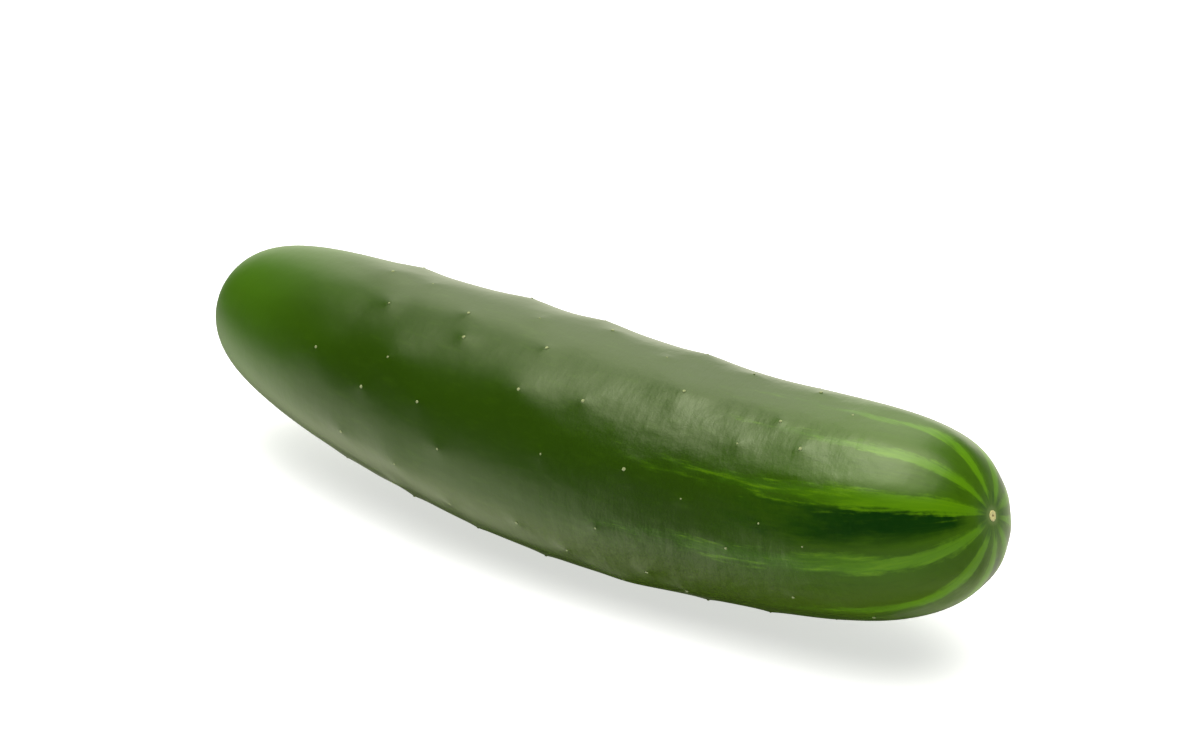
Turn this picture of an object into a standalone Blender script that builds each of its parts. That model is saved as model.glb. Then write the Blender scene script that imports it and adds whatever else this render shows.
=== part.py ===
"""One slicing cucumber, lying on its side.

Metres, +Z up. The stem end is at -X and the blossom end at +X. The origin is under the middle of
the fruit's box, on the surface that it lies on. A bearing goes round the fruit's core: 0 is +Y,
90 is up, 180 is -Y and 270 is down."""

import math
import random

import bmesh
import bpy
import numpy as np

# The fruit's length along its core, and its diameters at places given as shares of that length
LENGTH = 0.212
GIRTH_PLACES = (0.1, 0.3, 0.5, 0.7, 0.9)
GIRTHS = (0.0456, 0.0497, 0.0540, 0.0511, 0.0508)

# How far each rounded end reaches along the core, and how full it is (2 is an ellipse)
STEM_CAP = 0.0554
STEM_FULLNESS = 2.43
BLOSSOM_CAP = 0.0494
BLOSSOM_FULLNESS = 2.25

# The bend of the core in degrees: to the side, above level, and in the last part of the length,
# where the blossom end turns back and lifts
SIDE_BOW = 8.2
LEAN = 0.3
RISE = 6.6
SAG = 5.2
NOSE_START = 0.7
NOSE_TURN = -9.1
NOSE_LIFT = 11.5

# Three broad lobes all along, and shallow ribs that show towards the blossom end
LOBES = 3
LOBE_HEIGHT = 0.00015
LOBE_BEARING = 35.0
RIBS = 10
RIB_HEIGHT = 0.00022
RIB_REACH = 0.060

# Warts on a spiral from the stem side to the blossom side, each moved a little by chance. Most are
# low and narrow, and a few are bold, which means tall and broad.
WARTS = 91
WART_SEED = 612
WART_FIRST_BEARING = 93.0
WART_TURN = 137.508
WART_START = 0.048
WART_END = 0.188
WART_CROWDING = 1.1
WART_SCATTER = 0.0045
WART_HEIGHT = (0.0002, 0.00075)
WART_SPREAD = (0.0017, 0.0044)
WART_RARITY = 2.5
WART_STRETCH = 1.25

# The scars at the two ends, and the hollow that each one sits in
BLOSSOM_SCAR_RADIUS = 0.0012
BLOSSOM_HOLLOW_DEPTH = 0.0003
BLOSSOM_HOLLOW_SPREAD = 0.0045
STEM_SCAR_RADIUS = 0.0032
STEM_HOLLOW_DEPTH = 0.0016
STEM_HOLLOW_SPREAD = 0.0080
SCAR_RIM = 0.0003
SCAR_PIT = 0.0004

# How much of the underside is pressed flat where the fruit rests
REST_DEPTH = 0.0007

# The mesh: points round each ring, rings round each end and rings between the ends
AROUND = 66
END_RINGS = 15
BARREL_RINGS = 44
CORE_STEPS = 400

SKIN_GREEN = (0.028, 0.078, 0.004, 1.0)
SKIN_ROUGHNESS = 0.38


def core_directions(shares):
    """Unit vectors along the core, across it to the side and across it upwards."""
    way = 2 * shares - 1
    nose = np.clip((shares - NOSE_START) / (1 - NOSE_START), 0, 1) ** 2
    heading = np.radians(SIDE_BOW * way + NOSE_TURN * nose)
    rise = np.radians(LEAN + RISE * way + SAG * (way**2 - 1 / 3) + NOSE_LIFT * nose)
    level = np.cos(rise)
    along = np.stack([np.cos(heading) * level, np.sin(heading) * level, np.sin(rise)], axis=-1)
    side = np.stack([-np.sin(heading), np.cos(heading), np.zeros_like(heading)], axis=-1)
    return along, side, np.cross(along, side)


def core_points(shares):
    """Points on the core, found by walking along it in short straight steps."""
    ends = np.linspace(0, 1, CORE_STEPS + 1)
    along = core_directions((ends[1:] + ends[:-1]) / 2)[0]
    walked = np.vstack([np.zeros(3), np.cumsum(along * LENGTH / CORE_STEPS, axis=0)])
    return np.stack([np.interp(shares, ends, walked[:, k]) for k in range(3)], axis=-1)


def end_rounding(distance, cap, fullness):
    """From 0 at the tip to 1 where the rounded end runs into the barrel."""
    share = np.clip(distance / cap, 0, 1)
    return (1 - (1 - share) ** fullness) ** (1 / fullness)


def skin_radius(shares):
    barrel = np.polyval(np.polyfit(GIRTH_PLACES, GIRTHS, len(GIRTHS) - 1), shares) / 2
    stem = end_rounding(shares * LENGTH, STEM_CAP, STEM_FULLNESS)
    blossom = end_rounding((1 - shares) * LENGTH, BLOSSOM_CAP, BLOSSOM_FULLNESS)
    return barrel * stem * blossom


def ring_shares():
    """Where the rings stand: even steps of angle round each end, and of length between them."""
    angles = np.linspace(0, math.pi / 2, END_RINGS + 1)
    stem = STEM_CAP * (1 - np.cos(angles) ** (2 / STEM_FULLNESS))
    blossom = LENGTH - BLOSSOM_CAP * (1 - np.cos(angles) ** (2 / BLOSSOM_FULLNESS))
    barrel = np.linspace(stem[-1], blossom[-1], BARREL_RINGS + 2)[1:-1]
    return np.concatenate([stem, barrel, blossom[::-1]]) / LENGTH


def wart_spots():
    """Distance from the stem end, bearing, height and spread of each wart."""
    draw = random.Random(WART_SEED)
    spots = []
    for number in range(WARTS):
        share = ((number + 0.5) / WARTS) ** WART_CROWDING
        distance = WART_START + (WART_END - WART_START) * share
        bearing = math.radians(WART_FIRST_BEARING + WART_TURN * number)
        distance += draw.uniform(-1, 1) * WART_SCATTER
        bearing += draw.uniform(-1, 1) * WART_SCATTER / (max(GIRTHS) / 2)
        boldness = draw.random() ** WART_RARITY
        height, spread = (low + (high - low) * boldness for low, high in (WART_HEIGHT, WART_SPREAD))
        spots.append((distance, bearing, height, spread))
    return spots


def turn_between(bearings, other):
    """The smallest angle from one bearing to another."""
    return np.abs((bearings - other + math.pi) % (2 * math.pi) - math.pi)


def relief(shares, bearings, radii):
    """How far the skin stands out from its plain round form."""
    barrel = radii / (max(GIRTHS) / 2)
    height = LOBE_HEIGHT * np.cos(LOBES * (bearings - math.radians(LOBE_BEARING))) * barrel
    from_blossom = (1 - shares) * LENGTH
    height += RIB_HEIGHT * np.cos(RIBS * bearings) * np.exp(-((from_blossom / RIB_REACH) ** 2)) * barrel
    for distance, bearing, tall, spread in wart_spots():
        lengthways = (shares * LENGTH - distance) / (spread * WART_STRETCH)
        round_about = turn_between(bearings, bearing) * radii / spread
        height += tall * np.exp(-(lengthways**2 + round_about**2) / 2)
    return height


def skin_points(shares, bearings):
    """Points on the skin, one for each pair of a share of the length and a bearing."""
    radii = skin_radius(shares)
    along, side, up = core_directions(shares)
    out = np.cos(bearings)[:, None] * side + np.sin(bearings)[:, None] * up
    hollow = STEM_HOLLOW_DEPTH * np.exp(-((radii / STEM_HOLLOW_SPREAD) ** 2)) * (shares < 0.5)
    hollow -= BLOSSOM_HOLLOW_DEPTH * np.exp(-((radii / BLOSSOM_HOLLOW_SPREAD) ** 2)) * (shares > 0.5)
    reach = radii + relief(shares, bearings, radii)
    return core_points(shares) + reach[:, None] * out + hollow[:, None] * along


def lowest_of_plain_form():
    """The lowest height of the fruit without its warts, lobes and ribs."""
    shares = np.linspace(0, 1, CORE_STEPS + 1)
    up = core_directions(shares)[2]
    return (core_points(shares) - skin_radius(shares)[:, None] * up)[:, 2].min()


def shape_skin(mesh):
    """Draws a ball's rings out into the fruit, stem end first, and presses its underside flat."""
    shares = ring_shares()
    last = len(shares) - 1
    rings = [round(last * math.acos(max(-1.0, min(1.0, -point.co.z))) / math.pi) for point in mesh.verts]
    bearings = np.array([math.atan2(point.co.y, point.co.x) for point in mesh.verts])
    places = skin_points(shares[rings], bearings)
    rest = lowest_of_plain_form() + REST_DEPTH
    places[:, 2] = np.maximum(places[:, 2], rest)
    for point, place in zip(mesh.verts, places):
        point.co = place


def add_scar(mesh, tip, radius):
    """Turns the point at a tip into a round scar with a raised rim and a pit in its middle."""
    ring = [edge.other_vert(tip) for edge in tip.link_edges]
    first_ring = sum((point.co - tip.co).length for point in ring) / len(ring)
    bmesh.ops.dissolve_verts(mesh, verts=[tip])
    face = max(ring[0].link_faces, key=lambda found: len(found.verts))
    bmesh.ops.inset_region(mesh, faces=[face], thickness=first_ring - radius)
    bmesh.ops.inset_region(mesh, faces=[face], thickness=radius * 0.1, depth=SCAR_RIM)
    bmesh.ops.inset_region(mesh, faces=[face], thickness=radius * 0.4)
    bmesh.ops.inset_region(mesh, faces=[face], thickness=radius * 0.15, depth=-SCAR_PIT)


def move_to_origin(mesh):
    """Brings the middle of the box's bottom to the origin."""
    places = np.array([point.co for point in mesh.verts])
    low, high = places.min(axis=0), places.max(axis=0)
    bmesh.ops.translate(mesh, verts=mesh.verts, vec=(-(low[0] + high[0]) / 2, -(low[1] + high[1]) / 2, -low[2]))


def skin_material():
    material = bpy.data.materials.new("cucumber_skin")
    material.use_nodes = True
    shader = material.node_tree.nodes["Principled BSDF"]
    shader.inputs["Base Color"].default_value = SKIN_GREEN
    shader.inputs["Roughness"].default_value = SKIN_ROUGHNESS
    shader.inputs["Metallic"].default_value = 0.0
    return material


def build_cucumber():
    mesh = bmesh.new()
    ring_count = len(ring_shares()) - 1
    bmesh.ops.create_uvsphere(mesh, u_segments=AROUND, v_segments=ring_count, radius=1.0)
    shape_skin(mesh)
    tips = sorted(mesh.verts, key=lambda point: len(point.link_edges))[-2:]
    tips.sort(key=lambda point: point.co.x)
    add_scar(mesh, tips[0], STEM_SCAR_RADIUS)
    add_scar(mesh, tips[1], BLOSSOM_SCAR_RADIUS)
    bmesh.ops.recalc_face_normals(mesh, faces=mesh.faces)
    move_to_origin(mesh)
    data = bpy.data.meshes.new("cucumber")
    mesh.to_mesh(data)
    mesh.free()
    data.shade_smooth()
    data.materials.append(skin_material())
    cucumber = bpy.data.objects.new("cucumber", data)
    bpy.context.scene.collection.objects.link(cucumber)


def main():
    for leftover in list(bpy.data.objects):
        bpy.data.objects.remove(leftover)
    build_cucumber()


main()
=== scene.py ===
"""The looks of one slicing cucumber: its waxy skin with stripes, warts and spine scars, the blossom
scar and the stem scar, on a pale floor in soft light.

Metres, +Z up, the stem end at -X and the blossom end at +X. A bearing goes round the fruit's core:
0 is +Y, 90 is up, 180 is -Y, which faces the camera's side, and 270 is down."""

import math
import random

import bpy
import numpy as np
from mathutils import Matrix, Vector, noise


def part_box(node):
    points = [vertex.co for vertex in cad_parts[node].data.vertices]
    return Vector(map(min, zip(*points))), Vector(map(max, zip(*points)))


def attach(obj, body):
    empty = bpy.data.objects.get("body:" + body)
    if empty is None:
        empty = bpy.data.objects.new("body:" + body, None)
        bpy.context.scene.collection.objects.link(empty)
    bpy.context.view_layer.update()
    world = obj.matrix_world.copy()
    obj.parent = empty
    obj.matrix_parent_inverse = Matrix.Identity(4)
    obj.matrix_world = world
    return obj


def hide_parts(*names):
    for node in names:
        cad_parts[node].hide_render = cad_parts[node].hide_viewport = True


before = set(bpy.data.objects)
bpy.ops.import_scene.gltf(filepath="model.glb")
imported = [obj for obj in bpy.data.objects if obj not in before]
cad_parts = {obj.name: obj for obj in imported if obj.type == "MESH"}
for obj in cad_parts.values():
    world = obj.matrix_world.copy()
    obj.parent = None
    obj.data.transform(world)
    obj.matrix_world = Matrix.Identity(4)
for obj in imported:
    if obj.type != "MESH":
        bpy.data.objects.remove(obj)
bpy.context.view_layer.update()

# The fruit's form, as the solid has it
LENGTH = 0.212
GIRTH_PLACES = (0.1, 0.3, 0.5, 0.7, 0.9)
GIRTHS = (0.0456, 0.0497, 0.0540, 0.0511, 0.0508)
STEM_CAP = 0.0554
STEM_FULLNESS = 2.43
BLOSSOM_CAP = 0.0494
BLOSSOM_FULLNESS = 2.25
SIDE_BOW = 8.2
LEAN = 0.3
RISE = 6.6
SAG = 5.2
NOSE_START = 0.7
NOSE_TURN = -9.1
NOSE_LIFT = 11.5
LOBES = 3
LOBE_HEIGHT = 0.00015
LOBE_BEARING = 35.0
RIBS = 10
RIB_HEIGHT = 0.00022
RIB_REACH = 0.060
WARTS = 91
WART_SEED = 612
WART_FIRST_BEARING = 93.0
WART_TURN = 137.508
WART_START = 0.048
WART_END = 0.188
WART_CROWDING = 1.1
WART_SCATTER = 0.0045
WART_HEIGHT = (0.0002, 0.00075)
WART_SPREAD = (0.0017, 0.0044)
WART_RARITY = 2.5
WART_STRETCH = 1.25
WART_TIP_HEIGHT = 0.00011
WART_TIP_SPREAD = 0.0008
BLOSSOM_HOLLOW_DEPTH = 0.0003
BLOSSOM_HOLLOW_SPREAD = 0.0045
STEM_HOLLOW_DEPTH = 0.0016
STEM_HOLLOW_SPREAD = 0.0080
REST_DEPTH = 0.0007
CORE_STEPS = 400

# The finer skin: points round each ring, rings from tip to tip, and steps to measure its profile
AROUND = 272
RINGS = 360
PROFILE_STEPS = 4000
UNEVEN_HEIGHT = 0.00012
UNEVEN_SIZE = 0.016

# Stripes: bearing and its change near the blossom end in degrees, half width on the barrel and near
# the blossom end, reach from the blossom end, and how dark the skin is from it to the next stripe
STRIPES = (
    (91, -9, 0.0008, 0.0011, 0.060, 0.15),
    (116, 0, 0.0009, 0.0010, 0.060, 0.25),
    (147, 1, 0.0017, 0.0014, 0.084, 1.00),
    (183, 4, 0.0018, 0.0012, 0.104, 0.10),
    (217, 7, 0.0010, 0.0012, 0.048, 0.30),
    (256, 0, 0.0009, 0.0013, 0.055, 0.60),
    (293, -3, 0.0015, 0.0016, 0.078, 0.75),
    (328, 2, 0.0010, 0.0013, 0.056, 0.30),
    (4, 0, 0.0014, 0.0016, 0.070, 0.80),
    (47, -5, 0.0010, 0.0014, 0.058, 0.25),
)
STRIPE_TURN_FROM = 0.026
STRIPE_TURN_TO = 0.006
STRIPE_CONVERGING = 0.012
STRIPE_LEAST_WIDTH = 0.02
STRIPE_FADE = 1.5
STRIPE_FADE_CURVE = 0.8
GAP_LEAN = 0.6

# Scars as rings of radius and height, from the edge inwards
BLOSSOM_SCAR = (
    (0.00120, -0.00030),
    (0.00114, 0.00010),
    (0.00094, 0.00022),
    (0.00070, 0.00022),
    (0.00046, 0.00016),
    (0.00028, 0.00010),
    (0.00013, 0.00008),
)
STEM_SCAR = (
    (0.00330, -0.00050),
    (0.00318, 0.00012),
    (0.00285, 0.00034),
    (0.00240, 0.00026),
    (0.00185, 0.00022),
    (0.00130, 0.00026),
    (0.00085, 0.00028),
    (0.00050, 0.00017),
    (0.00022, 0.00013),
)
SCAR_SIDES = 48
SPINE_SCAR_RADIUS = 0.00038
SPINE_SCAR_HEIGHT = 0.00017
SPINE_SCAR_SHARES = (0.55, 1.15)

# How uneven the two end scars are, and how broad their swells, as shares of the scar's radius
SCAR_SWELL_SIZE = 0.45
SCAR_SWELL = 0.10
SCAR_BUMP_SIZE = 0.25
SCAR_BUMP = 0.03

# The height below which a wart has no spine scar, and how far apart the points stand that give the
# skin's direction at a wart
CLEAR_OF_FLOOR = 0.0012
SKIN_PROBE = 0.0004

# The floor, the softbox (its direction, distance, width and watts) and the light from all round
FLOOR_SIZE = 6.0
FLOOR_DROP = -0.0001
FLOOR_WHITE = (0.80, 0.81, 0.94, 1)
FLOOR_GLOW = 0.62
SOFTBOX_AZIMUTH = -60
SOFTBOX_ELEVATION = 81
SOFTBOX_DISTANCE = 2.0
SOFTBOX_WIDTH = 0.80
SOFTBOX_WATTS = 5.0
BACK_AZIMUTH = -148.0
SKY_CREAM = (1.0, 0.985, 0.80, 1)
WHITE = (1, 1, 1, 1)

# The camera, as the photo has it: where it stands round the fruit, its distance and what it aims at
# from the middle of the fruit's box
CAMERA_AZIMUTH = 34.85
CAMERA_ELEVATION = 26.0
CAMERA_DISTANCE = 0.6436
CAMERA_AIM = (0.0011, 0.0085, 0.0125)
CAMERA_LENS = 85.0


def core_directions(shares):
    """Unit vectors along the core, across it to the side and across it upwards."""
    way = 2 * shares - 1
    nose = np.clip((shares - NOSE_START) / (1 - NOSE_START), 0, 1) ** 2
    heading = np.radians(SIDE_BOW * way + NOSE_TURN * nose)
    rise = np.radians(LEAN + RISE * way + SAG * (way**2 - 1 / 3) + NOSE_LIFT * nose)
    level = np.cos(rise)
    along = np.stack([np.cos(heading) * level, np.sin(heading) * level, np.sin(rise)], axis=-1)
    side = np.stack([-np.sin(heading), np.cos(heading), np.zeros_like(heading)], axis=-1)
    return along, side, np.cross(along, side)


def core_points(shares):
    """Points on the core, found by walking along it in short straight steps."""
    ends = np.linspace(0, 1, CORE_STEPS + 1)
    along = core_directions((ends[1:] + ends[:-1]) / 2)[0]
    walked = np.vstack([np.zeros(3), np.cumsum(along * LENGTH / CORE_STEPS, axis=0)])
    return np.stack([np.interp(shares, ends, walked[:, k]) for k in range(3)], axis=-1)


def end_rounding(distance, cap, fullness):
    """From 0 at the tip to 1 where the rounded end runs into the barrel."""
    share = np.clip(distance / cap, 0, 1)
    return (1 - (1 - share) ** fullness) ** (1 / fullness)


def skin_radius(shares):
    barrel = np.polyval(np.polyfit(GIRTH_PLACES, GIRTHS, len(GIRTHS) - 1), shares) / 2
    stem = end_rounding(shares * LENGTH, STEM_CAP, STEM_FULLNESS)
    blossom = end_rounding((1 - shares) * LENGTH, BLOSSOM_CAP, BLOSSOM_FULLNESS)
    return barrel * stem * blossom


def ring_shares():
    """Where the rings stand: at even steps over the skin from the stem's tip to the blossom's."""
    shares = (1 - np.cos(np.linspace(0, math.pi, PROFILE_STEPS + 1))) / 2
    steps = np.hypot(np.diff(shares * LENGTH), np.diff(skin_radius(shares)))
    walked = np.concatenate([[0], np.cumsum(steps)])
    return np.interp(np.linspace(0, walked[-1], RINGS + 1), walked, shares)


def wart_spots():
    """Distance from the stem end, bearing, height and spread of each wart."""
    draw = random.Random(WART_SEED)
    spots = []
    for number in range(WARTS):
        share = ((number + 0.5) / WARTS) ** WART_CROWDING
        distance = WART_START + (WART_END - WART_START) * share
        bearing = math.radians(WART_FIRST_BEARING + WART_TURN * number)
        distance += draw.uniform(-1, 1) * WART_SCATTER
        bearing += draw.uniform(-1, 1) * WART_SCATTER / (max(GIRTHS) / 2)
        boldness = draw.random() ** WART_RARITY
        height, spread = (low + (high - low) * boldness for low, high in (WART_HEIGHT, WART_SPREAD))
        spots.append((distance, bearing, height, spread))
    return spots


def turn_between(bearings, other):
    """The smallest angle from one bearing to another."""
    return np.abs((bearings - other + math.pi) % (2 * math.pi) - math.pi)


def wart_relief(shares, bearings, radii):
    height = np.zeros_like(shares)
    for distance, bearing, tall, spread in wart_spots():
        lengthways = (shares * LENGTH - distance) / (spread * WART_STRETCH)
        round_about = turn_between(bearings, bearing) * radii / spread
        height += tall * np.exp(-(lengthways**2 + round_about**2) / 2)
    return height


def wart_tips(shares, bearings):
    """The small sharp tip of each wart, under its spine scar."""
    radii = skin_radius(shares)
    height = np.zeros_like(shares)
    for distance, bearing, _, _ in wart_spots():
        lengthways = shares * LENGTH - distance
        round_about = turn_between(bearings, bearing) * radii
        height += WART_TIP_HEIGHT * np.exp(-(lengthways**2 + round_about**2) / (2 * WART_TIP_SPREAD**2))
    return height


def relief(shares, bearings, radii):
    """How far the skin stands out from its plain round form."""
    barrel = radii / (max(GIRTHS) / 2)
    height = LOBE_HEIGHT * np.cos(LOBES * (bearings - math.radians(LOBE_BEARING))) * barrel
    from_blossom = (1 - shares) * LENGTH
    height += RIB_HEIGHT * np.cos(RIBS * bearings) * np.exp(-((from_blossom / RIB_REACH) ** 2)) * barrel
    return height + wart_relief(shares, bearings, radii)


def skin_points(shares, bearings):
    """Points on the skin, one for each pair of a share of the length and a bearing."""
    radii = skin_radius(shares)
    along, side, up = core_directions(shares)
    out = np.cos(bearings)[:, None] * side + np.sin(bearings)[:, None] * up
    hollow = STEM_HOLLOW_DEPTH * np.exp(-((radii / STEM_HOLLOW_SPREAD) ** 2)) * (shares < 0.5)
    hollow -= BLOSSOM_HOLLOW_DEPTH * np.exp(-((radii / BLOSSOM_HOLLOW_SPREAD) ** 2)) * (shares > 0.5)
    reach = radii + relief(shares, bearings, radii)
    return core_points(shares) + reach[:, None] * out + hollow[:, None] * along


def straightened(shares, bearings):
    """Each skin point's place on the fruit as if it were straight: along, across and up."""
    radii = skin_radius(shares)
    return np.stack([shares * LENGTH, radii * np.cos(bearings), radii * np.sin(bearings)], axis=-1)


def on_even_tube(shares, bearings):
    """Each skin point's place if the fruit were a tube of one girth, so that lines meet at the ends."""
    radius = max(GIRTHS) / 2
    return np.stack([shares * LENGTH, radius * np.cos(bearings), radius * np.sin(bearings)], axis=-1)


def to_part():
    """The step that brings points from the core's own frame to the part's frame."""
    shares = np.repeat(ring_shares(), AROUND)
    bearings = np.tile(np.linspace(0, 2 * math.pi, AROUND, endpoint=False), RINGS + 1)
    places = skin_points(shares, bearings)
    low, high = places.min(axis=0), places.max(axis=0)
    plain = np.linspace(0, 1, CORE_STEPS + 1)
    bottom = core_points(plain) - skin_radius(plain)[:, None] * core_directions(plain)[2]
    rest = bottom[:, 2].min() + REST_DEPTH
    return np.array([-(low[0] + high[0]) / 2, -(low[1] + high[1]) / 2, -rest])


TO_PART = to_part()


def deselect_all():
    bpy.ops.object.select_all(action="DESELECT")


def smooth_step(values, low, high):
    """0 at low and 1 at high, with a smooth way between."""
    share = np.clip((values - low) / (high - low), 0, 1)
    return share**2 * (3 - 2 * share)


def stripe_closeness(shares, bearings):
    """1 on the middle of a stripe and 0 away from all of them, fading out towards the barrel."""
    from_blossom = (1 - shares) * LENGTH
    radii = skin_radius(shares)
    near_tip = smooth_step(-from_blossom, -STRIPE_TURN_FROM, -STRIPE_TURN_TO)
    converging = np.clip(radii / STRIPE_CONVERGING, STRIPE_LEAST_WIDTH, 1)
    closeness = np.zeros_like(shares)
    for bearing, bend, barrel_width, tip_width, reach, _ in STRIPES:
        middle = np.radians(bearing + bend * near_tip)
        half_width = (barrel_width + (tip_width - barrel_width) * near_tip) * converging
        across = turn_between(bearings, middle) * radii / half_width
        fade = np.clip(STRIPE_FADE * (1 - from_blossom / reach), 0, 1)
        closeness = np.maximum(closeness, np.exp(-(across**2) / 2) * fade**STRIPE_FADE_CURVE)
    return closeness


def gap_darkness(bearings):
    """How dark the skin is between stripes: darkest near the first stripe of each pair."""
    darkness = np.zeros_like(bearings)
    for number, stripe in enumerate(STRIPES):
        bearing, dark = stripe[0], stripe[-1]
        gap = (STRIPES[(number + 1) % len(STRIPES)][0] - bearing) % 360
        way = ((np.degrees(bearings) - bearing) % 360) / gap
        leaning = np.clip(way, 0, 1) ** GAP_LEAN
        darkness += np.where(way < 1, dark * np.sin(math.pi * leaning) ** 2, 0)
    return darkness


def add_numbers(mesh, name, numbers):
    attribute = mesh.attributes.new(name, "FLOAT", "POINT")
    attribute.data.foreach_set("value", np.asarray(numbers, np.float32))


def add_vectors(mesh, name, vectors):
    attribute = mesh.attributes.new(name, "FLOAT_VECTOR", "POINT")
    attribute.data.foreach_set("vector", np.asarray(vectors, np.float32).ravel())


def unevenness(straight):
    """Slow swells of the skin, by a smooth noise on the straightened fruit."""
    return np.array([noise.noise(Vector(place) / UNEVEN_SIZE) for place in straight]) * UNEVEN_HEIGHT


def make_skin():
    """A ball whose rings are drawn out into the fruit."""
    deselect_all()
    shares = ring_shares()
    last = len(shares) - 1
    bpy.ops.mesh.primitive_uv_sphere_add(segments=AROUND, ring_count=last, radius=1)
    skin = bpy.context.object
    skin.name = "skin"
    mesh = skin.data
    ball = np.empty(len(mesh.vertices) * 3, np.float32)
    mesh.vertices.foreach_get("co", ball)
    ball = ball.reshape(-1, 3).astype(float)
    rings = np.rint(last * np.arccos(np.clip(-ball[:, 2], -1, 1)) / math.pi).astype(int)
    bearings = np.arctan2(ball[:, 1], ball[:, 0])
    shares = shares[rings]
    places = skin_points(shares, bearings) + TO_PART
    straight = straightened(shares, bearings)
    along, side, up = core_directions(shares)
    out = np.cos(bearings)[:, None] * side + np.sin(bearings)[:, None] * up
    lift = unevenness(straight) * skin_radius(shares) / (max(GIRTHS) / 2) + wart_tips(shares, bearings)
    places += lift[:, None] * out
    places[:, 2] = np.maximum(places[:, 2], 0)
    mesh.vertices.foreach_set("co", places.ravel())
    add_vectors(mesh, "straight", straight)
    add_numbers(mesh, "stripe", stripe_closeness(shares, bearings))
    add_numbers(mesh, "gap", gap_darkness(bearings))
    add_numbers(mesh, "from_tip", np.hypot(skin_radius(shares), (1 - shares) * LENGTH))
    add_vectors(mesh, "tube", on_even_tube(shares, bearings))
    bpy.ops.object.mode_set(mode="EDIT")
    bpy.ops.mesh.select_all(action="SELECT")
    bpy.ops.mesh.normals_make_consistent(inside=False)
    bpy.ops.object.mode_set(mode="OBJECT")
    bpy.ops.object.shade_smooth()
    return skin


class Wire:
    """One output of a node. Sums on wires add Math nodes."""

    def __init__(self, nodes, socket):
        self.nodes = nodes
        self.socket = socket

    def __add__(self, other):
        return self.nodes.sum("ADD", self, other)

    def __radd__(self, other):
        return self.nodes.sum("ADD", other, self)

    def __sub__(self, other):
        return self.nodes.sum("SUBTRACT", self, other)

    def __rsub__(self, other):
        return self.nodes.sum("SUBTRACT", other, self)

    def __mul__(self, other):
        return self.nodes.sum("MULTIPLY", self, other)

    def __rmul__(self, other):
        return self.nodes.sum("MULTIPLY", other, self)

    def __neg__(self):
        return self.nodes.sum("MULTIPLY", self, -1.0)


class Nodes:
    """The nodes of a material or of the world, under way."""

    def __init__(self, tree):
        self.tree = tree

    def feed(self, socket, value):
        if isinstance(value, Wire):
            self.tree.links.new(value.socket, socket)
        else:
            socket.default_value = value

    def node(self, kind, settings=None, inputs=None, output=0):
        """Adds a node, sets its settings, feeds its sockets and gives back one of its outputs."""
        made = self.tree.nodes.new(kind)
        for name, value in (settings or {}).items():
            setattr(made, name, value)
        for name, value in (inputs or {}).items():
            self.feed(made.inputs[name], value)
        return Wire(self, made.outputs[output])

    def sum(self, operation, first, second):
        return self.node("ShaderNodeMath", {"operation": operation}, {0: first, 1: second})

    def step(self, value, low, high):
        """0 below low and 1 above high, with a smooth way between."""
        return self.node(
            "ShaderNodeMapRange",
            {"interpolation_type": "SMOOTHSTEP"},
            {"Value": value, "From Min": low, "From Max": high},
        )

    def between(self, value, low, high, soft):
        """1 from low to high and 0 outside, with edges that are soft by that much."""
        return self.step(value, low - soft, low + soft) * (1 - self.step(value, high - soft, high + soft))

    def blend(self, share, first, second):
        """A colour between two others."""
        return self.node("ShaderNodeMix", {"data_type": "RGBA"}, {0: share, 6: first, 7: second}, 2)

    def grain(self, place, sizes, detail=2.0, roughness=0.5):
        """Smooth noise from 0 to 1 whose blotches have the given sizes in metres along each axis."""
        scaled = self.node(
            "ShaderNodeMapping",
            {"vector_type": "POINT"},
            {"Vector": place, "Scale": [1 / size for size in sizes]},
        )
        return self.node(
            "ShaderNodeTexNoise",
            {"noise_dimensions": "3D"},
            {"Vector": scaled, "Scale": 1.0, "Detail": detail, "Roughness": roughness},
        )

    def axis(self, vector, name):
        return self.node("ShaderNodeSeparateXYZ", {}, {"Vector": vector}, name)

    def attribute(self, name, output):
        return self.node("ShaderNodeAttribute", {"attribute_name": name}, {}, output)

    def bump(self, height, distance):
        return self.node("ShaderNodeBump", {}, {"Strength": 1.0, "Distance": distance, "Height": height})


class Finish(Nodes):
    """A material under way, with its Principled shader."""

    def __init__(self, name):
        self.material = bpy.data.materials.new(name)
        self.material.use_nodes = True
        super().__init__(self.material.node_tree)
        self.shader = self.tree.nodes["Principled BSDF"]

    def set(self, **values):
        """Feeds the Principled shader's own sockets, with _ for a space in a socket's name."""
        for name, value in values.items():
            self.feed(self.shader.inputs[name.replace("_", " ")], value)


STEM_GREEN = (0.052, 0.148, 0.0015, 1)
BARREL_GREEN = (0.0222, 0.0615, 0.0006, 1)
DARK_GREEN = (0.0010, 0.0300, 0.0005, 1)
FLECK_GREEN = (0.046, 0.112, 0.0020, 1)
TIP_GREEN = (0.043, 0.116, 0.0008, 1)
STRIPE_GREEN = (0.033, 0.102, 0.0008, 1)
# The stripes' own yellower green at the blossom end, also brighter there as painted light for the angle the
# light falls at
STRIPE_END_YELLOW_AND_LIT = (0.091, 0.240, 0.0008, 1)
STRIPE_LIGHT_GREEN = (0.135, 0.290, 0.0020, 1)
# An olive that stands in for warm bounce light from the floor: painted light on the underside
PAINTED_BOUNCE_OLIVE = (0.056, 0.088, 0.0015, 1)
HALO_GREEN = (0.140, 0.210, 0.060, 1)
RAY_GREEN = (0.016, 0.070, 0.001, 1)
WAX_TINT = (0.92, 1.0, 0.74, 1)

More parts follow.
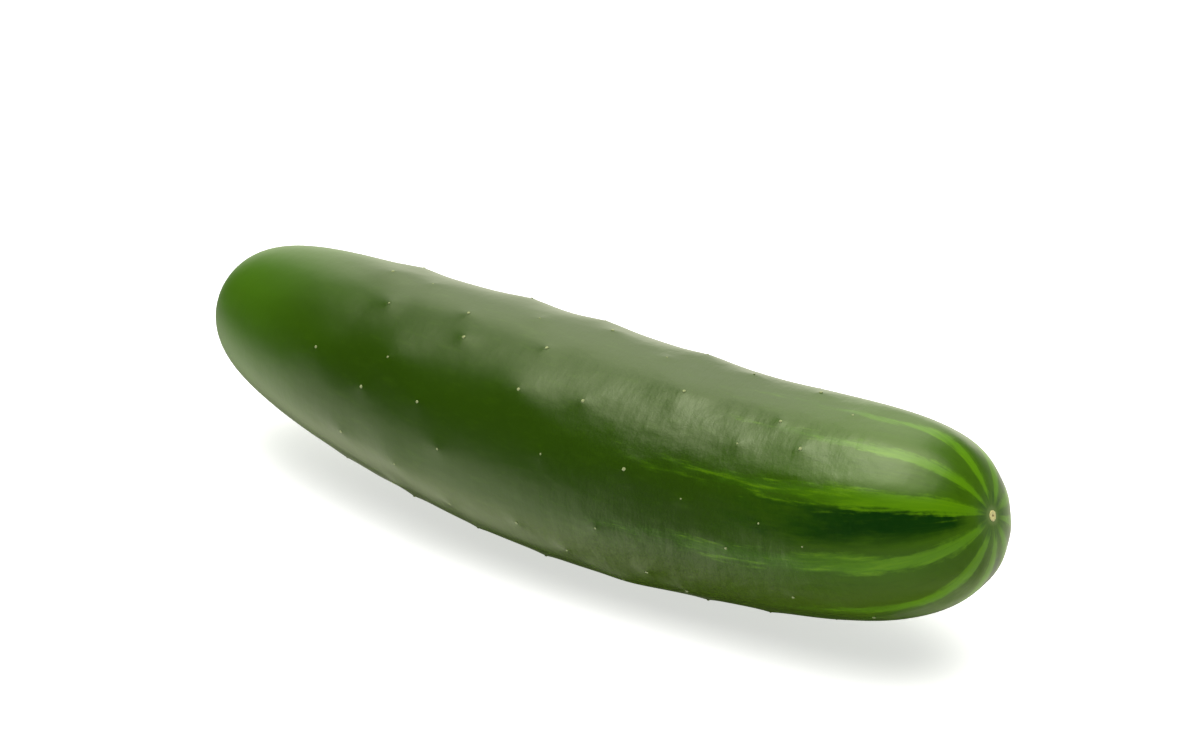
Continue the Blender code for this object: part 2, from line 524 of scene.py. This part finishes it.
# The sizes of the blotches in the skin's colour and finish, along the fruit and twice across it
BROAD_SIZE = (0.022, 0.009, 0.009)
MOTTLE_SIZE = (0.0060, 0.0018, 0.0018)
FLECK_SIZE = (0.0014, 0.0007, 0.0007)
LINE_SIZE = (0.0090, 0.0011, 0.0011)
RAY_SIZE = (0.0300, 0.0045, 0.0045)
SWELL_SIZE = (0.0120, 0.0080, 0.0080)
RIPPLE_SIZE = (0.0026, 0.0095, 0.0095)
PORE_SIZE = (0.0010, 0.0010, 0.0010)
SKIN_BUMP = 0.001

# Where a colour or a finish starts and ends its change: metres from the stem end, or below the
# core for the painted warm bounce light on the underside
STEM_END = (0.000, 0.062)
TIP_END = (0.145, 0.205)
DARK_END = (0.152, 0.194)
# Yellower stripes towards the blossom end, their extra brightness there partly painted light
YELLOW_AND_LIT_END = (0.164, 0.206)
PAINTED_BOUNCE_BELOW = (0.002, 0.012)
# Painted warm bounce light: how far below the core it starts and where it is full
RIPPLED = (0.090, 0.150)
SMOOTH_END = (0.182, 0.198)

# The same, as distances from the blossom end of the core
DARK_STOPS = (0.0065, 0.0120)
STRIPES_STOP = (0.0020, 0.0055)
RAY_BAND = (0.0026, 0.0052)
HALO_EDGE = (0.0013, 0.0026)


class SkinFinish(Finish):
    """The waxy skin under way, with the places and the blotches that its colours follow."""

    def __init__(self):
        super().__init__("waxy_skin")
        self.place = self.attribute("straight", "Vector")
        self.tube = self.attribute("tube", "Vector")
        self.from_tip = self.attribute("from_tip", "Fac")
        self.along = self.axis(self.place, "X")
        self.broad = self.grain(self.place, BROAD_SIZE)
        self.mottle = self.grain(self.place, MOTTLE_SIZE, 4.0, 0.6)
        self.flecks = self.grain(self.place, FLECK_SIZE, 3.0, 0.6)
        self.lines = self.grain(self.tube, LINE_SIZE, 4.0, 0.65)
        self.near_stem = 1 - self.step(self.along + (self.broad - 0.5) * 0.02, *STEM_END)
        self.near_tip = self.step(self.along + (self.mottle - 0.5) * 0.020, *TIP_END)
        # Painted warm bounce light: the skin below the core turns olive as if lit warmly from the floor
        below = -self.axis(self.place, "Z")
        self.painted_bounce = self.step(below + (self.mottle - 0.5) * 0.006, *PAINTED_BOUNCE_BELOW)

    def dark_gaps(self):
        """The deep green between some of the stripes, which stops short of the blossom scar."""
        uneven = (self.mottle - 0.5) * 0.050 + (self.lines - 0.5) * 0.030
        near_blossom = self.step(self.along + uneven, *DARK_END)
        away_from_tip = self.step(self.from_tip + (self.lines - 0.5) * 0.004, *DARK_STOPS)
        gap = self.attribute("gap", "Fac")
        dark = self.step(gap + (self.mottle - 0.5) * 0.5 + (self.lines - 0.5) * 0.8, 0.05, 0.80)
        return dark * near_blossom * away_from_tip

    def ground(self):
        """The skin's greens under its stripes, with painted warm bounce light on the underside."""
        dark = self.dark_gaps()
        blotches = self.step(self.mottle, 0.50, 0.80) * (0.30 - dark * 0.2)
        specks = self.step(self.flecks, 0.60, 0.80) * (0.35 - dark * 0.2)
        streaks = self.near_tip * self.step(self.lines, 0.52, 0.72) * 0.34
        colour = self.blend(self.near_stem, BARREL_GREEN, STEM_GREEN)
        colour = self.blend(self.near_tip, colour, TIP_GREEN)
        # Painted warm bounce light on the underside
        colour = self.blend(self.painted_bounce * 0.45, colour, PAINTED_BOUNCE_OLIVE)
        colour = self.blend(dark * 0.97, colour, DARK_GREEN)
        for share in (blotches, specks, streaks):
            colour = self.blend(share, colour, FLECK_GREEN)
        return colour

    def stripes_on(self, ground):
        """The stripes, ragged at their edges and yellower towards the blossom end, where part of their
        brightening is painted light, with painted warm bounce light on the underside.
        """
        stripe = self.attribute("stripe", "Fac")
        ragged = stripe + (self.mottle - 0.5) * 0.80 + (self.lines - 0.5) * 1.50 + (self.flecks - 0.5) * 0.40
        share = self.step(ragged, 0.20, 0.80) * self.step(stripe, 0.01, 0.10)
        share = share * self.step(self.from_tip, *STRIPES_STOP)
        # Yellower stripes towards the blossom end; part of their extra brightness there is painted light
        yellowing_and_lit = self.step(self.along + (self.lines - 0.5) * 0.040, *YELLOW_AND_LIT_END)
        colour = self.blend(yellowing_and_lit, STRIPE_GREEN, STRIPE_END_YELLOW_AND_LIT)
        colour = self.blend(self.step(self.lines, 0.50, 0.72) * 0.5, colour, STRIPE_LIGHT_GREEN)
        # Painted warm bounce light on the stripes' underside too
        colour = self.blend(self.painted_bounce * 0.20, colour, PAINTED_BOUNCE_OLIVE)
        return self.blend(share * 0.94, ground, colour)

    def rays_and_halo_on(self, colour):
        """Dark rays round the blossom scar, and the pale ring against its edge."""
        rays = self.step(self.grain(self.tube, RAY_SIZE, 2.0), 0.46, 0.58)
        rays = rays * self.between(self.from_tip, *RAY_BAND, 0.0010)
        colour = self.blend(rays * 0.65, colour, RAY_GREEN)
        halo = 1 - self.step(self.from_tip + (self.lines - 0.5) * 0.0014, *HALO_EDGE)
        return self.blend(halo * 0.6, colour, HALO_GREEN)

    def height(self):
        """Swells, crosswise ripples and pores, strongest in the blossom half but not on the nose."""
        swells = self.grain(self.place, SWELL_SIZE)
        ripple = self.grain(self.place, RIPPLE_SIZE, 3.0)
        pores = self.grain(self.place, PORE_SIZE, 3.0, 0.6)
        strength = 0.3 + self.step(self.along, *RIPPLED) * 0.7 - self.step(self.along, *SMOOTH_END) * 0.6
        return (swells * 0.50 + ripple * 0.13 + pores * 0.050) * strength


def skin_finish():
    finish = SkinFinish()
    finish.set(
        Base_Color=finish.rays_and_halo_on(finish.stripes_on(finish.ground())),
        Roughness=0.276 + finish.broad * 0.016 + finish.mottle * 0.010 + finish.near_stem * 0.12,
        Normal=finish.bump(finish.height(), SKIN_BUMP),
        IOR=1.5,
        Specular_Tint=WAX_TINT,
    )
    return finish.material


CORK_PALE = (0.60, 0.56, 0.26, 1)
CORK_BROWN = (0.16, 0.085, 0.030, 1)
STEM_CORK_PALE = (0.34, 0.30, 0.17, 1)
SPINE_PALE = (0.30, 0.35, 0.17, 1)
CORK_GRAIN = (0.0004, 0.0004, 0.0004)
CORK_BUMP = 0.0002

# Where a scar's brown starts and is full: 0 at its rim and 1 in its middle
BLOSSOM_BROWN = (0.68, 0.90)
STEM_BROWN = (0.35, 0.90)


def cork_finish(name, pale, brown_from_to):
    """Dry cork, pale at its rim and brown in the middle."""
    finish = Finish(name)
    place = finish.node("ShaderNodeTexCoord", {}, {}, "Object")
    middle = finish.attribute("middle", "Fac")
    grain = finish.grain(place, CORK_GRAIN, 4.0, 0.6)
    share = finish.step(middle + (grain - 0.5) * 0.35, *brown_from_to)
    colour = finish.blend(share, pale, CORK_BROWN)
    colour = finish.blend(finish.step(grain, 0.50, 0.75) * 0.35, colour, CORK_BROWN)
    finish.set(Base_Color=colour, Roughness=0.8, Normal=finish.bump(grain, CORK_BUMP), IOR=1.4)
    return finish.material


def spine_finish():
    finish = Finish("spine_scar")
    finish.set(Base_Color=SPINE_PALE, Roughness=0.6, IOR=1.4)
    return finish.material


def skin_place(share, bearing):
    """A point on the skin and the direction straight out of it there."""
    radius = skin_radius(np.array([share]))[0]
    shares = np.array([share, share + SKIN_PROBE / LENGTH, share])
    bearings = np.array([bearing, bearing, bearing + SKIN_PROBE / radius])
    here, on, round_about = skin_points(shares, bearings) + TO_PART
    out = Vector(np.cross(round_about - here, on - here)).normalized()
    return Vector(here), out


def make_spine_scars():
    """One small dome on each wart that is clear of the floor, where its spine has dropped off."""
    domes = []
    draw = random.Random(WART_SEED)
    for distance, bearing, _, _ in wart_spots():
        place, out = skin_place(distance / LENGTH, bearing)
        radius = SPINE_SCAR_RADIUS * draw.uniform(*SPINE_SCAR_SHARES)
        if place.z < CLEAR_OF_FLOOR:
            continue
        deselect_all()
        bpy.ops.mesh.primitive_uv_sphere_add(segments=10, ring_count=6, radius=radius)
        dome = bpy.context.object
        dome.scale.z = SPINE_SCAR_HEIGHT / SPINE_SCAR_RADIUS
        dome.rotation_euler = out.to_track_quat("Z", "Y").to_euler()
        dome.location = place + out * WART_TIP_HEIGHT
        domes.append(dome)
    deselect_all()
    for dome in domes:
        dome.select_set(True)
    bpy.context.view_layer.objects.active = domes[0]
    bpy.ops.object.join()
    scars = bpy.context.object
    scars.name = "spine_scars"
    bpy.ops.object.transform_apply(location=True, rotation=True, scale=True)
    bpy.ops.object.shade_smooth()
    scars.data.materials.append(spine_finish())
    return scars


def make_end_scar(name, rings, tip_share):
    """A round scar at an end of the core: a ring drawn inwards and up or down, step by step."""
    deselect_all()
    first_radius, first_height = rings[0]
    bpy.ops.mesh.primitive_circle_add(vertices=SCAR_SIDES, radius=first_radius, fill_type="NOTHING")
    scar = bpy.context.object
    scar.name = name
    bpy.ops.object.mode_set(mode="EDIT")
    bpy.ops.mesh.select_all(action="SELECT")
    bpy.ops.transform.translate(value=(0, 0, first_height))
    for (radius, height), (narrower, next_height) in zip(rings, rings[1:]):
        bpy.ops.mesh.extrude_region_move(TRANSFORM_OT_translate={"value": (0, 0, next_height - height)})
        share = narrower / radius
        bpy.ops.transform.resize(value=(share, share, 1), center_override=(0, 0, 0))
    bpy.ops.mesh.merge(type="CENTER")
    bpy.ops.mesh.select_all(action="SELECT")
    bpy.ops.mesh.normals_make_consistent(inside=False)
    bpy.ops.object.mode_set(mode="OBJECT")
    reach = np.array([math.hypot(point.co.x, point.co.y) for point in scar.data.vertices])
    add_numbers(scar.data, "middle", 1 - reach / first_radius)
    roughen(scar.data, first_radius)
    along = Vector(core_directions(np.array([tip_share]))[0][0])
    out = along if tip_share > 0.5 else -along
    scar.rotation_euler = out.to_track_quat("Z", "Y").to_euler()
    scar.location = end_place(tip_share)
    bpy.ops.object.transform_apply(location=True, rotation=True, scale=True)
    bpy.ops.object.shade_smooth()
    return scar


def roughen(mesh, size):
    """Small unevenness, so that a scar's rings aren't true circles."""
    for point in mesh.vertices:
        swell = noise.noise(Vector(point.co) / (size * SCAR_SWELL_SIZE)) * SCAR_SWELL
        point.co.x *= 1 + swell
        point.co.y *= 1 + swell
        point.co.z += noise.noise(Vector(point.co) / (size * SCAR_BUMP_SIZE)) * size * SCAR_BUMP


def end_place(tip_share):
    """Where the skin's own tip is: the end of the core, less the hollow."""
    shares = np.array([tip_share])
    return Vector(skin_points(shares, np.array([0.0]))[0] + TO_PART)


def make_floor():
    deselect_all()
    bpy.ops.mesh.primitive_plane_add(size=FLOOR_SIZE, location=(0, 0, FLOOR_DROP))
    floor = bpy.context.object
    floor.name = "floor"
    finish = Finish("floor_white")
    finish.set(Base_Color=FLOOR_WHITE, Roughness=0.8)
    finish.set(Emission_Color=WHITE, Emission_Strength=FLOOR_GLOW)
    floor.data.materials.append(finish.material)
    floor.visible_glossy = False


def facing(azimuth, elevation):
    """The unit vector from the fruit towards a place at an azimuth and elevation, as a camera's."""
    turn, lift = math.radians(azimuth), math.radians(elevation)
    return Vector((math.sin(turn) * math.cos(lift), -math.cos(turn) * math.cos(lift), math.sin(lift)))


def make_camera():
    low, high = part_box("cucumber")
    aim = (low + high) / 2 + Vector(CAMERA_AIM)
    back = facing(CAMERA_AZIMUTH, CAMERA_ELEVATION)
    data = bpy.data.cameras.new("camera")
    data.lens = CAMERA_LENS
    data.sensor_width = 36.0
    data.clip_start = 0.01
    camera = bpy.data.objects.new("camera", data)
    camera.location = aim + back * CAMERA_DISTANCE
    camera.rotation_euler = back.to_track_quat("Z", "Y").to_euler()
    bpy.context.scene.collection.objects.link(camera)
    bpy.context.scene.camera = camera


def add_softbox():
    """A square soft light that faces the fruit from above."""
    data = bpy.data.lights.new("softbox_above", "AREA")
    data.shape = "RECTANGLE"
    data.size = SOFTBOX_WIDTH
    data.size_y = SOFTBOX_WIDTH
    data.energy = SOFTBOX_WATTS
    back = facing(SOFTBOX_AZIMUTH, SOFTBOX_ELEVATION)
    light = bpy.data.objects.new("softbox_above", data)
    light.location = back * SOFTBOX_DISTANCE
    light.rotation_euler = back.to_track_quat("Z", "Y").to_euler()
    bpy.context.scene.collection.objects.link(light)


def azimuth_from(nodes, way, zero):
    """The azimuth of a direction, counted from another azimuth, so that its seam lies opposite."""
    to_right, to_front = nodes.axis(way, "X"), -nodes.axis(way, "Y")
    sine, cosine = math.sin(math.radians(zero)), math.cos(math.radians(zero))
    across = to_right * cosine - to_front * sine
    return nodes.sum("ARCTAN2", across, to_right * sine + to_front * cosine)


def light_above(nodes, height, azimuth):
    """The broad light overhead, which sits a little higher on the right."""
    right = nodes.between(azimuth, math.radians(-6), math.radians(116), math.radians(16))
    broad = nodes.step(height - right * 0.08, 0.68, 0.92) * 3.1
    return broad + nodes.step(height - right * 0.04, 0.91, 0.99) * 2.4


def light_behind(nodes, height, from_back):
    """A lit wall behind the fruit, which reaches below the horizon for the fruit's outline."""
    back = nodes.between(from_back, math.radians(-24), math.radians(26), math.radians(14))
    wall = 0.85 + nodes.step(height, 0.10, 0.88) * 2.1 + nodes.between(height, -0.30, 0.18, 0.14) * 0.6
    return back * nodes.step(height, -0.66, -0.48) * wall


def light_below(nodes, height, azimuth, from_back):
    """The pale surface's light from below, strongest on the left and weaker behind."""
    left = nodes.step(azimuth, math.radians(-128), math.radians(-92))
    low_right = nodes.step(azimuth, math.radians(-42), math.radians(-12))
    below = left * nodes.step(height, -0.95, -0.78) * (1 - nodes.step(height, -0.50, -0.02))
    below = below * (1.40 - low_right * (0.95 + nodes.step(height, -0.85, -0.65) * 0.40))
    behind = nodes.between(from_back, math.radians(-88), math.radians(-19), math.radians(10))
    low_behind = nodes.step(height, -0.95, -0.86) * (1 - nodes.step(height, -0.35, 0.25))
    return nodes.sum("MAXIMUM", below, behind * (low_behind * 0.80 + 0.06))


def make_light():
    """Light from all round: bright above and behind, dark on the camera's side, white to the eye."""
    world = bpy.data.worlds.new("studio")
    bpy.context.scene.world = world
    world.use_nodes = True
    nodes = Nodes(world.node_tree)
    way = nodes.node("ShaderNodeTexCoord", {}, {}, "Generated")
    height = nodes.axis(way, "Z")
    azimuth = azimuth_from(nodes, way, 0)
    from_back = azimuth_from(nodes, way, BACK_AZIMUTH)
    brightest = nodes.sum(
        "MAXIMUM", light_above(nodes, height, azimuth), light_behind(nodes, height, from_back)
    )
    sky = world.node_tree.nodes["Background"]
    sky.inputs["Color"].default_value = SKY_CREAM
    below = light_below(nodes, height, azimuth, from_back)
    nodes.feed(sky.inputs["Strength"], brightest + below + 0.02)
    plain = world.node_tree.nodes.new("ShaderNodeBackground")
    plain.inputs["Color"].default_value = WHITE
    seen = nodes.node("ShaderNodeLightPath", {}, {}, "Is Camera Ray")
    mixed = nodes.node("ShaderNodeMixShader", {}, {0: seen})
    mixer = mixed.socket.node
    world.node_tree.links.new(sky.outputs[0], mixer.inputs[1])
    world.node_tree.links.new(plain.outputs[0], mixer.inputs[2])
    world.node_tree.links.new(mixed.socket, world.node_tree.nodes["World Output"].inputs["Surface"])
    bpy.context.scene.view_settings.view_transform = "Standard"


def make_cucumber():
    skin = make_skin()
    skin.data.materials.append(skin_finish())
    spine_scars = make_spine_scars()
    blossom_scar = make_end_scar("blossom_scar", BLOSSOM_SCAR, 1.0)
    blossom_scar.data.materials.append(cork_finish("blossom_cork", CORK_PALE, BLOSSOM_BROWN))
    stem_scar = make_end_scar("stem_scar", STEM_SCAR, 0.0)
    stem_scar.data.materials.append(cork_finish("stem_cork", STEM_CORK_PALE, STEM_BROWN))
    for piece in (skin, spine_scars, blossom_scar, stem_scar):
        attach(piece, "root")
        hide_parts("cucumber")


make_camera()
make_floor()
make_light()
add_softbox()
make_cucumber()
